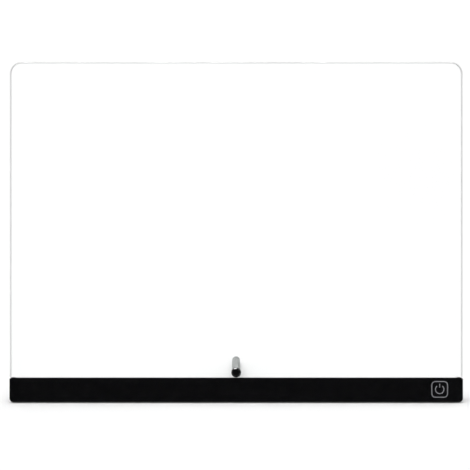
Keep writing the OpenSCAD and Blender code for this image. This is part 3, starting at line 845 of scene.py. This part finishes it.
# Battery door: a grained black plate that lies flush in the rear face, with a plug behind it and
# a springy tongue between two slits. Three moulded ridges give the thumb a hold.
DOOR_HALF, DOOR_LOW, DOOR_TOP = 71.0, 4.9341, 17.1687
TONGUE_W, TONGUE_L, SLIT = 14.0, 7.0, 0.8
DOOR_EDGE, DOOR_CREASE = 0.25, 40.0
BAR_BACK, DOOR_T = 15.0, 1.0
slit_low = DOOR_TOP - TONGUE_L
tongue_side, slit_side = TONGUE_W / 2, TONGUE_W / 2 + SLIT
right_half = [
    (DOOR_HALF, DOOR_LOW), (DOOR_HALF, DOOR_TOP), (slit_side, DOOR_TOP), (slit_side, slit_low),
    (tongue_side, slit_low), (tongue_side, DOOR_TOP),
]
left_half = [(-x, z) for x, z in reversed(right_half)]
door_outline = [Vector(point) for point in right_half + left_half]
bm = bmesh.new()
closed_loft(bm, [
    ring_of(bm, outline, at_depth(depth)) for outline, depth in (
        (door_outline, BAR_BACK - DOOR_T), (door_outline, BAR_BACK - DOOR_EDGE),
        (drawn_in(door_outline, 0.3 * DOOR_EDGE), BAR_BACK - 0.3 * DOOR_EDGE),
        (drawn_in(door_outline, DOOR_EDGE), BAR_BACK),
    )
])
PLUG_HALF, PLUG_LOW, PLUG_TOP, PLUG_EDGE = 69.4, 4.9341, 15.5687, 0.15
PLUG_FACE, PLUG_ROOT = 13.4, 14.2
for low, high in ((-PLUG_HALF, -slit_side), (slit_side, PLUG_HALF)):
    corners = ((low, PLUG_LOW), (high, PLUG_LOW), (high, PLUG_TOP), (low, PLUG_TOP))
    plug = [Vector(corner) for corner in corners]
    closed_loft(bm, [
        ring_of(bm, outline, at_depth(depth)) for outline, depth in (
            (drawn_in(plug, PLUG_EDGE), PLUG_FACE), (plug, PLUG_FACE + PLUG_EDGE),
            (plug, PLUG_ROOT),
        )
    ])
fitted(
    "door_plate", mesh_from(bm, "door_plate"), [grained],
    "door", ["battery_door"], DOOR_CREASE
)

tree, start, size = new_growth("door_ridges", {
    "Count": "Int", "Pitch": "Float", "Length": "Float", "Radius": "Float", "Seat": "Vector",
})
ridge = start.node("GeometryNodeMeshCylinder", {}, {
    "Vertices": 20, "Radius": size["Radius"], "Depth": size["Length"],
})
ridge = moved(start, ridge, Rotation=(0.0, math.pi / 2, 0.0))
ridges = set_in_row(start, ridge, size["Count"], size["Seat"], vector_of(start, z=size["Pitch"]))
fitted(
    "door_ridges",
    grown_mesh(tree, start, painted(start, leaned(start, ridges), grained), {
        "Count": 3, "Pitch": 0.002, "Length": 0.012, "Radius": 0.0005,
        "Seat": (0.0, 0.0149, 0.0115687),
    }),
    [], "door", []
)


# Cells: three slim cylindrical cells in line, each in a printed plastic sleeve shrunk over a
# plated steel can, with a raised nub at the front end. The sleeves carry no name, only a band.
CELL_R, CELL_L = 5.25, 44.5
CELL_Y = 7.5
FIRST_CELL = -64.25
BAND_FROM = 0.72
CELL_SIDES = 48


def sleeve(start):
    place = place_on_board(start)
    along = start.node("ShaderNodeSeparateXYZ", {}, {"Vector": place}, "X")
    share = start.reckon("FRACT", (along * MM_IN_M - FIRST_CELL) * (1.0 / CELL_L), 0.0)
    band = share > BAND_FROM
    film = speckle(start, place, 600.0)
    return surface(start, {
        "Base Color": blended(start, band, (0.035, 0.038, 0.045), (0.52, 0.30, 0.10)),
        "Metallic": 0.5 * band,
        "Roughness": 0.26 + 0.12 * film,
        "Normal": raised(start, film, 0.00002),
    })


def along_row(x, y, z):
    """A place on a piece turned about the row of cells: two ways across, then along it."""
    return stood(z, CELL_Y + x, CELL_Z + y)


def turned_about(bm, profile, sides, place, material=0):
    """A surface turned from radius and length. A radius of nothing closes it."""
    rings = []
    for radius, length in profile:
        points = [(0.0, 0.0)] if radius == 0 else circle(radius, sides)
        rings.append(ring_of(bm, points, lambda x, y: place(x, y, length)))
    skin(bm, rings, material)


sleeve_finish = finish_of("cell_sleeve", sleeve)
for n in range(3):
    bm = bmesh.new()
    base = FIRST_CELL + n * CELL_L
    turned_about(bm, [(0, base), (3.9, base), (4.1, base + 0.05)], CELL_SIDES, along_row, 1)
    turned_about(bm, [
        (4.1, base + 0.05), (4.75, base + 0.05), (5.1, base + 0.2), (CELL_R, base + 0.5),
        (CELL_R, base + 42.9), (5.0, base + 43.4), (4.5, base + 43.7), (3.6, base + 43.7),
    ], CELL_SIDES, along_row, 0)
    turned_about(bm, [
        (3.6, base + 43.7), (3.5, base + 43.6), (1.9, base + 43.6), (1.85, base + 44.2),
        (1.6, base + 44.5), (0, base + 44.5),
    ], CELL_SIDES, along_row, 1)
    welded(bm, TIGHT)
    name = "cell_sleeve_%d" % (n + 1)
    fitted(name, mesh_from(bm, name), [sleeve_finish, tin], "base", ["cell_%d" % (n + 1)])


# Contacts: flat tinned plates at the two ends of the bay, pressed into slots in its walls, and a
# conical spring of plated wire that holds the row of cells against the far plate.
for node in ("negative_plate", "positive_plate"):
    dress(node, tin)
tree, start, size = new_growth("contact_spring", {
    "Turns": "Float", "Base Radius": "Float", "Top Radius": "Float", "Length": "Float",
    "Wire": "Float", "Seat": "Vector",
})
helix = start.node("GeometryNodeCurveSpiral", {}, {
    "Resolution": 36, "Rotations": size["Turns"], "Start Radius": size["Base Radius"],
    "End Radius": size["Top Radius"], "Height": size["Length"],
})
wire = start.node("GeometryNodeCurvePrimitiveCircle", {}, {
    "Resolution": 12, "Radius": size["Wire"],
})
coil = start.node("GeometryNodeCurveToMesh", {}, {
    "Curve": helix, "Profile Curve": wire, "Fill Caps": True,
})
coil = moved(start, coil, Rotation=(0.0, math.pi / 2, 0.0), Translation=size["Seat"])
fitted(
    "contact_spring",
    grown_mesh(tree, start, painted(start, leaned(start, coil), tin), {
        "Turns": 4.0, "Base Radius": 0.0036, "Top Radius": 0.0022, "Length": 0.0042,
        "Wire": 0.00035, "Seat": (-0.0688, 0.0075, 0.0087506),
    }),
    [], "base", ["negative_spring"]
)


# Wires: thin stranded copper in PVC, soldered at both ends. A red and a black one run from the
# bay's contacts along the bar to the control board, and two white ones feed the lit strip.
def wire_skin(low, high):
    def shade(start):
        film = speckle(start, place_on_board(start), 700.0)
        return surface(start, {
            "Base Color": blended(start, film, low, high),
            "Roughness": 0.38 + 0.12 * film,
            "Normal": raised(start, film, 0.00002),
        })
    return shade


def smooth_way(points, steps):
    """A smooth line through points."""
    ways = [Vector(p) for p in points]
    ways = [2 * ways[0] - ways[1], *ways, 2 * ways[-1] - ways[-2]]
    line = []
    for a, b, c, d in zip(ways, ways[1:], ways[2:], ways[3:]):
        for t in (k / steps for k in range(steps)):
            line.append(
                b + (c - a) * t / 2 + (2 * a - 5 * b + 4 * c - d) * t * t / 2
                + (3 * b - a - 3 * c + d) * t ** 3 / 2
            )
    return line + [ways[-2]]


def tube_along(bm, line, radius, sides, material=0):
    """A round tube along a line, without twist."""
    side = Vector((0.0, 0.3, 1.0))
    rings = []
    for k, here in enumerate(line):
        way = (line[min(k + 1, len(line) - 1)] - line[max(k - 1, 0)]).normalized()
        side = (side - way * side.dot(way)).normalized()
        other = way.cross(side)
        rings.append(ring_of(
            bm, circle(radius, sides), lambda x, y: stood(*(here + side * x + other * y))
        ))
    closed_loft(bm, rings, material)


BOARD_LEFT, BOARD_REAR, BOARD_LOW = 164.4, 8.85, 4.517
WIRE_R, WIRE_SIDES, WIRE_STEPS = 0.5, 14, 10
LOW_RUN = 4.2
bay_wires = (
    [
        (-69.25, 3.7, 5.15), (-68.05, 3.7, 5.15), (-65.25, 2.8, LOW_RUN), (-57.65, 2.7, LOW_RUN),
        (BOARD_LEFT - 12, 2.7, LOW_RUN), (BOARD_LEFT - 1, 3.2, LOW_RUN + 0.4),
        (BOARD_LEFT + 3.8, BOARD_FRONT - 1.6, BOARD_LOW + 1.4),
        (BOARD_LEFT + 3.8, BOARD_FRONT, BOARD_LOW + 1.4),
    ],
    [
        (69.65, 4.1, 6.35), (71.25, 4.1, 6.35), (74.65, 4.1, LOW_RUN + 0.3), (81.65, 4.2, LOW_RUN),
        (BOARD_LEFT - 12, 4.2, LOW_RUN), (BOARD_LEFT - 3, 4.4, LOW_RUN + 0.5),
        (BOARD_LEFT + 1.4, BOARD_FRONT - 1.6, BOARD_LOW + 1.4),
        (BOARD_LEFT + 1.4, BOARD_FRONT, BOARD_LOW + 1.4),
    ],
)
bm = bmesh.new()
for k, route in enumerate(bay_wires):
    tube_along(bm, smooth_way(route, WIRE_STEPS), WIRE_R, WIRE_SIDES, k)
fitted(
    "bay_wires", mesh_from(bm, "bay_wires"), [
        finish_of("black_wire_skin", wire_skin((0.012, 0.012, 0.013), (0.022, 0.022, 0.024))),
        finish_of("red_wire_skin", wire_skin((0.32, 0.018, 0.014), (0.42, 0.03, 0.022))),
    ],
    "base", ["battery_leads"]
)
LIT_END, LIT_BOARD_LOW = 156.4, 14.6006
strip_wires = (
    [
        (LIT_END - 2, 5.6, LIT_BOARD_LOW), (LIT_END - 2, 5.6, LIT_BOARD_LOW - 1.2),
        (LIT_END + 2, 5.7, LIT_BOARD_LOW - 4), (BOARD_LEFT - 1.5, 5.8, BOARD_LOW + 4.8),
        (BOARD_LEFT + 1.4, BOARD_FRONT - 1.4, BOARD_LOW + 4.4),
        (BOARD_LEFT + 1.4, BOARD_FRONT, BOARD_LOW + 4.4),
    ],
    [
        (LIT_END - 2, 8.6, LIT_BOARD_LOW), (LIT_END - 2, 8.6, LIT_BOARD_LOW - 1.2),
        (LIT_END + 2, 9.0, LIT_BOARD_LOW - 4), (BOARD_LEFT - 1.5, 10.0, BOARD_LOW + 4.8),
        (BOARD_LEFT + 1.4, BOARD_REAR + 1.4, BOARD_LOW + 4.4),
        (BOARD_LEFT + 1.4, BOARD_REAR, BOARD_LOW + 4.4),
    ],
)
bm = bmesh.new()
for route in strip_wires:
    tube_along(bm, smooth_way(route, WIRE_STEPS), WIRE_R, WIRE_SIDES)
fitted(
    "strip_wires", mesh_from(bm, "strip_wires"),
    [finish_of("white_wire_skin", wire_skin((0.62, 0.62, 0.60), (0.74, 0.74, 0.72)))],
    "base", ["strip_leads"]
)


# Grip strip: a long strip of black rubber glued into a shallow pocket under the sole, with fine
# cross ribs that stand on the table and keep the bar from sliding.
def black_rubber(start):
    place = start.node("ShaderNodeTexCoord", {}, {}, "Object")
    bloom = speckle(start, place, 420.0, 4.0)
    grit = speckle(start, place, 5200.0)
    return surface(start, {
        "Base Color": blended(start, bloom, (0.016, 0.016, 0.0165), (0.042, 0.042, 0.043)),
        "Roughness": 0.72 + 0.18 * grit,
        "Normal": raised(start, grit, 0.00004),
    })


tree, start, size = new_growth("grip_ribs", {
    "Length": "Float", "Width": "Float", "Thickness": "Float", "Pitch": "Float", "Rib": "Float",
})
rib_r, pitch = size["Rib"], size["Pitch"]
back = block(start, size["Length"], size["Width"], size["Thickness"] - rib_r)
back = moved(start, back, Translation=vector_of(start, z=0.5 * (size["Thickness"] + rib_r)))
rib = start.node("GeometryNodeMeshCylinder", {}, {
    "Vertices": 12, "Radius": rib_r, "Depth": size["Width"],
})
rib = moved(start, rib, Rotation=(math.pi / 2, 0.0, 0.0))
steps = start.reckon("DIVIDE", size["Length"] - 2.0 * rib_r, pitch)
steps = start.reckon("FLOOR", steps, 0.0)
seat = vector_of(start, x=-0.5 * steps * pitch, z=rib_r)
ribs = set_in_row(start, rib, steps + 1.0, seat, vector_of(start, x=pitch))
strip = joined(start, [back, ribs])
strip = start.node("GeometryNodeRealizeInstances", {}, {"Geometry": strip})
fitted(
    "grip_ribs",
    grown_mesh(tree, start, painted(start, strip, finish_of("black_rubber", black_rubber)), {
        "Length": 0.358, "Width": 0.006, "Thickness": 0.001, "Pitch": 0.0018, "Rib": 0.0004,
    }),
    [], "base", ["grip_strip"]
)


# Leg stud: a turned black nylon stud through the panel's hole, with a low domed head on the face
# and a plain shank behind it. A pale grey washer keeps the leg off the acrylic.
def nylon(low, high, rough):
    def shade(start):
        sheen = speckle(start, place_on_board(start), 1600.0, 3.0)
        return surface(start, {
            "Base Color": blended(start, sheen, low, high),
            "Roughness": rough + 0.1 * sheen,
            "Normal": raised(start, sheen, 0.00001),
        })
    return shade


def along_leg(x, y, z):
    """A place on a piece turned about the leg's axis: two ways across, then back along it."""
    return stood(x, z, LEG_RISE + y)


HEAD_R, HEAD_T = 4.35, 1.6
DOME_R, DOME_STEPS = 1.5, 10
SHANK_R, SHANK_L = 2.0, 10.0
WASHER_R, WASHER_T, WASHER_EDGE = 3.5, 0.8, 0.15
LEG_SIDES, LEG_START = 64, PANEL_BACK + WASHER_T
head_face = PANEL_FRONT - HEAD_T
bm = bmesh.new()
dome = [
    (HEAD_R - DOME_R * (1.0 - math.sin(a)), head_face + DOME_R * (1.0 - math.cos(a)))
    for a in (math.pi / 2 * k / DOME_STEPS for k in range(DOME_STEPS + 1))
]
turned_about(bm, [
    (0, head_face), (1.6, head_face), *dome, (HEAD_R, PANEL_FRONT),
    (SHANK_R, PANEL_FRONT), (SHANK_R, LEG_START + SHANK_L - 0.4),
    (SHANK_R - 0.3, LEG_START + SHANK_L), (0, LEG_START + SHANK_L),
], LEG_SIDES, along_leg)
fitted(
    "stud_turned", mesh_from(bm, "stud_turned"),
    [finish_of("black_nylon", nylon((0.003, 0.003, 0.0035), (0.006, 0.006, 0.0065), 0.06))],
    "base", ["leg_stud"]
)
bm = bmesh.new()
turned_about(bm, [
    (HOLE_R, PANEL_BACK), (WASHER_R - WASHER_EDGE, PANEL_BACK),
    (WASHER_R, PANEL_BACK + WASHER_EDGE), (WASHER_R, LEG_START - WASHER_EDGE),
    (WASHER_R - WASHER_EDGE, LEG_START), (HOLE_R, LEG_START), (HOLE_R, PANEL_BACK),
], LEG_SIDES, along_leg)
welded(bm, TIGHT)
fitted(
    "washer_turned", mesh_from(bm, "washer_turned"),
    [finish_of("grey_nylon", nylon((0.22, 0.22, 0.225), (0.30, 0.30, 0.305), 0.42))],
    "base", ["stud_washer"]
)


# Leg: a drawn aluminium rod with a satin anodised skin, bored at its near end to push onto the
# stud. A moulded grey rubber tip on its far end stands on the table.
def satin_anodised(start):
    place = place_on_board(start)
    drawn = speckle(start, stretched(start, place, (2600.0, 45.0, 2600.0)), 1.0, 4.0)
    cloud = speckle(start, place, 140.0)
    rubbed = speckle(start, stretched(start, place, (420.0, 900.0, 420.0)), 1.0, 3.0) > 0.69
    return surface(start, {
        "Base Color": blended(
            start, drawn * 0.8 + cloud * 0.2 + rubbed * 0.3,
            (0.119, 0.125, 0.123), (0.238, 0.247, 0.245)
        ),
        "Metallic": 0.2, "Specular IOR Level": 0.12,
        "Roughness": 0.36 + 0.22 * drawn - 0.1 * rubbed,
        "Normal": raised(start, drawn, 0.00003),
    })


def soft_grey(start):
    place = place_on_board(start)
    grit = speckle(start, place, 2100.0, 3.0)
    bloom = speckle(start, place, 260.0)
    return surface(start, {
        "Base Color": blended(
            start, 0.7 * grit + 0.3 * bloom, (0.165, 0.165, 0.17), (0.305, 0.305, 0.31)
        ),
        "Roughness": 0.58 + 0.22 * grit,
        "Normal": raised(start, grit, 0.00007),
    })


ROD_R, ROD_END, ROD_SIDES = 3.7, 98.999, 72
BORE_R, BORE_END = 2.05, LEG_START + 10.8
PEG_R, PEG_END = 2.0, ROD_END + 4.0
bm = bmesh.new()
turned_about(bm, [
    (0, BORE_END), (BORE_R, BORE_END), (BORE_R, LEG_START + 0.3), (BORE_R + 0.3, LEG_START),
    (ROD_R - 0.5, LEG_START), (ROD_R - 0.15, LEG_START + 0.2), (ROD_R, LEG_START + 0.5),
    (ROD_R, ROD_END - 0.25), (ROD_R - 0.25, ROD_END), (PEG_R, ROD_END), (PEG_R, PEG_END - 0.2),
    (PEG_R - 0.2, PEG_END), (0, PEG_END),
], ROD_SIDES, along_leg)
fitted(
    "rod_turned", mesh_from(bm, "rod_turned"), [finish_of("satin_anodised", satin_anodised)],
    "leg", ["leg_rod"]
)
bm = bmesh.new()
TIP_BALL, BALL_R, BALL_STEPS = 105.999, ROD_R - 0.01, 16
GROOVES, GROOVE_PITCH, GROOVE_T = 3, 1.6, 0.2
grooves = [
    (ROD_R - deep, ROD_END + GROOVE_PITCH * (k + 1) + along)
    for k in range(GROOVES)
    for deep, along in ((0.0, -0.35), (GROOVE_T, -0.15), (GROOVE_T, 0.15), (0.0, 0.35))
]
ball = [
    (ROD_R * math.cos(a), TIP_BALL + BALL_R * math.sin(a))
    for a in (math.pi / 2 * k / BALL_STEPS for k in range(BALL_STEPS))
]
turned_about(bm, [
    (0, PEG_END + 0.3), (BORE_R, PEG_END + 0.3), (BORE_R, ROD_END), (ROD_R - 0.3, ROD_END),
    (ROD_R, ROD_END + 0.3), *grooves, *ball, (0, TIP_BALL + BALL_R),
], ROD_SIDES, along_leg)
fitted(
    "tip_moulded", mesh_from(bm, "tip_moulded"), [finish_of("soft_grey_rubber", soft_grey)],
    "leg", ["leg_tip"]
)


# Table, light and camera: a plain pale floor under an even white surround, and one large soft lamp
# from above, a little to the left. Two things show only in mirrored light: a dark card behind the
# camera, which keeps the bar's face black, and a bright patch overhead, which lights the edges.
def pale_table(start):
    place = start.node("ShaderNodeTexCoord", {}, {}, "Object")
    grain = speckle(start, place, 260.0)
    return surface(start, {
        "Base Color": blended(start, grain, (0.84, 0.84, 0.84), (0.85, 0.85, 0.85)),
        "Roughness": 0.9, "Specular IOR Level": 0.0,
    })


def black_card(start):
    return start.node("ShaderNodeBsdfDiffuse", {}, {"Color": (0.0, 0.0, 0.0, 1.0)})


def flat_stage(name, corners, finish):
    """A flat stage piece from four corners in metres."""
    mesh = bpy.data.meshes.new(name)
    mesh.from_pydata(corners, [], [(0, 1, 2, 3)])
    mesh.materials.append(finish)
    plane = bpy.data.objects.new(name, mesh)
    bpy.context.scene.collection.objects.link(plane)
    return plane


FAR = 60.0
CARD_HALF, CARD_Y, CARD_LOW, CARD_TOP = 3.0, -1.6, 0.02, 2.2
flat_stage(
    "table", [(-FAR, -FAR, 0.0), (FAR, -FAR, 0.0), (FAR, FAR, 0.0), (-FAR, FAR, 0.0)],
    finish_of("pale_table", pale_table)
)
card = flat_stage(
    "dark_card", [
        (CARD_HALF, CARD_Y, CARD_LOW), (-CARD_HALF, CARD_Y, CARD_LOW),
        (-CARD_HALF, CARD_Y, CARD_TOP), (CARD_HALF, CARD_Y, CARD_TOP),
    ],
    finish_of("dark_card", black_card)
)
for sees in ("visible_camera", "visible_diffuse", "visible_transmission", "visible_shadow"):
    setattr(card, sees, False)

world = bpy.data.worlds.new("white_surround")
world.use_nodes = True
world.node_tree.nodes.clear()
start = Tap(world.node_tree)
seen, passed, mirrored = (
    start.node("ShaderNodeLightPath", {}, {}, "Is %s Ray" % ray)
    for ray in ("Camera", "Transmission", "Glossy")
)
towards = start.node("ShaderNodeTexCoord", {}, {}, "Generated")
sideways = start.node("ShaderNodeSeparateXYZ", {}, {"Vector": towards}, "X")
upwards = start.node("ShaderNodeSeparateXYZ", {}, {"Vector": towards}, "Z")
PATCH_ABOVE, PATCH_LEFT_OF, PATCH_GLOW = 0.8, 0.12, 27.0
SURROUND_GLOW, SEEN_GLOW = 0.83, 0.34
patch = (upwards > PATCH_ABOVE) * (sideways < PATCH_LEFT_OF) * mirrored * (1.0 - passed)
glow = start.node("ShaderNodeBackground", {}, {
    "Color": (1.0, 1.0, 1.0, 1.0),
    "Strength": SURROUND_GLOW + SEEN_GLOW * seen + SEEN_GLOW * passed + PATCH_GLOW * patch,
})
start.node("ShaderNodeOutputWorld", {}, {"Surface": glow})
bpy.context.scene.world = world

lamp = bpy.data.objects.new("soft_lamp", bpy.data.lights.new("soft_lamp", "SUN"))
lamp.data.energy = 1.35
lamp.data.angle = math.radians(66.0)
LAMP_SHINES = Vector((0.12, -0.17, -0.86))
lamp.rotation_euler = LAMP_SHINES.to_track_quat("-Z", "Y").to_euler()
bpy.context.scene.collection.objects.link(lamp)

CAMERA_X, CAMERA_BACK, CAMERA_RISE = -1.05, 990.0, 146.97
camera = bpy.data.objects.new("camera", bpy.data.cameras.new("camera"))
camera.data.lens = 86.46
camera.data.sensor_width = 36.0
camera.data.clip_start, camera.data.clip_end = 0.02, 200.0
camera.location = stood(CAMERA_X, -CAMERA_BACK, CAMERA_RISE)
camera.rotation_euler = (math.radians(90.0) - LEAN, 0.0, 0.0)
bpy.context.scene.collection.objects.link(camera)
bpy.context.scene.camera = camera
bpy.context.scene.view_settings.view_transform = "Standard"

bpy.context.view_layer.update()
